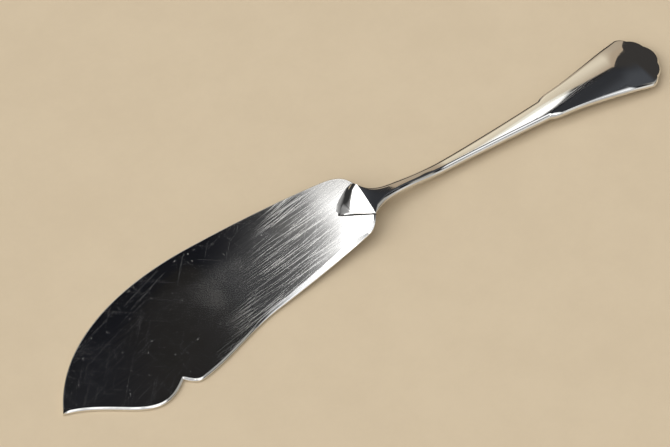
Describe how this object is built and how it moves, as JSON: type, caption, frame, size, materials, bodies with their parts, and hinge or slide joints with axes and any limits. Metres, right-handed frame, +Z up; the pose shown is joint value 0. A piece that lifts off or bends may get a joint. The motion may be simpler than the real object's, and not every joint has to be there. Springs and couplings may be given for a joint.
{
  "type": "fish server",
  "caption": "Polished metal fish server: a broad asymmetric blade with a notched lower edge, lapped under a slim arched handle with a scalloped end.",
  "frame": {"origin": "on the table under the middle of the server's length and width", "axes": "+X along the server from the tip of the blade to the end of the handle, +Y across it to the blade's convex spine, +Z up from the table"},
  "size_m": [0.2418, 0.0476, 0.0077],
  "materials": {
    "blade_silver": "mirror polished, fine scratches",
    "handle_silver": "mirror polished"
  },
  "bodies": {
    "root": {"blade": "blade_silver", "handle": "handle_silver"}
  },
  "joints": []
}
